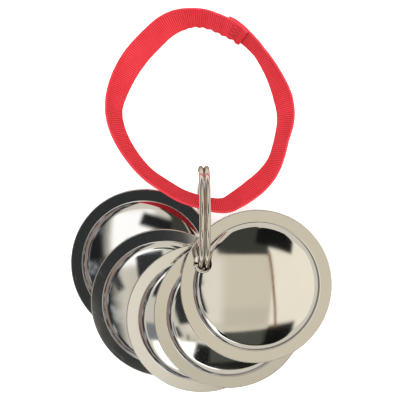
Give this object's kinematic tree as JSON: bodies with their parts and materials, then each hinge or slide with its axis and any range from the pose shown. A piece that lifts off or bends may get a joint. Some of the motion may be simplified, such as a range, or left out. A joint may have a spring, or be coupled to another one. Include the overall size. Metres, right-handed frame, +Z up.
{
  "type": "jingle discs on a split ring",
  "caption": "Shallow domed metal discs, each with a flat rim and a hole near its edge, threaded on a split ring that also carries a sewn ribbon wrist loop.",
  "frame": {"origin": "lowest point of the upright split ring, in its middle plane, on the table that the set lies on", "axes": "+Z up from the table, +Y from the discs towards the ribbon loop, X across the split ring's two coils"},
  "size_m": [0.1038, 0.1537, 0.04],
  "materials": {
    "plated_disc": "bright nickel plate, polished",
    "plated_wire": "bright nickel plated wire",
    "ribbon": "red ribbed grosgrain ribbon",
    "thread": "red polyester sewing thread"
  },
  "bodies": {
    "ring": {"split_ring": "plated_wire"},
    "disc_1": {"disc_1": "plated_disc"},
    "disc_2": {"disc_2": "plated_disc"},
    "disc_3": {"disc_3": "plated_disc"},
    "disc_4": {"disc_4": "plated_disc"},
    "disc_5": {"disc_5": "plated_disc"},
    "wrist_loop": {"ribbon_loop": "ribbon", "seam_stitching": "thread"}
  },
  "joints": [
    {"name": "disc_1_swing", "type": "hinge", "parent": "ring", "child": "disc_1", "pos_m": [-0.0006, -0.01494, 0.0075], "axis": [0, 0, 1], "range_deg": [-5, 160]},
    {"name": "disc_2_swing", "type": "hinge", "parent": "ring", "child": "disc_2", "pos_m": [0.0002, -0.01688, 0.011], "axis": [0, 0, 1], "range_deg": [-43, 99]},
    {"name": "disc_3_swing", "type": "hinge", "parent": "ring", "child": "disc_3", "pos_m": [0.0003, -0.01714, 0.0142], "axis": [0, 0, 1], "range_deg": [-64, 55]},
    {"name": "disc_4_swing", "type": "hinge", "parent": "ring", "child": "disc_4", "pos_m": [-0.0003, -0.01737, 0.0174], "axis": [0, 0, 1], "range_deg": [-88, 26]},
    {"name": "disc_5_swing", "type": "hinge", "parent": "ring", "child": "disc_5", "pos_m": [-0.0006, -0.01784, 0.0206], "axis": [0, 0, 1], "range_deg": [-127, 2]},
    {"name": "wrist_loop_lift", "type": "hinge", "parent": "ring", "child": "wrist_loop", "pos_m": [0, 0.0056, 0.0154], "axis": [1, 0, 0], "range_deg": [0, 90]}
  ]
}
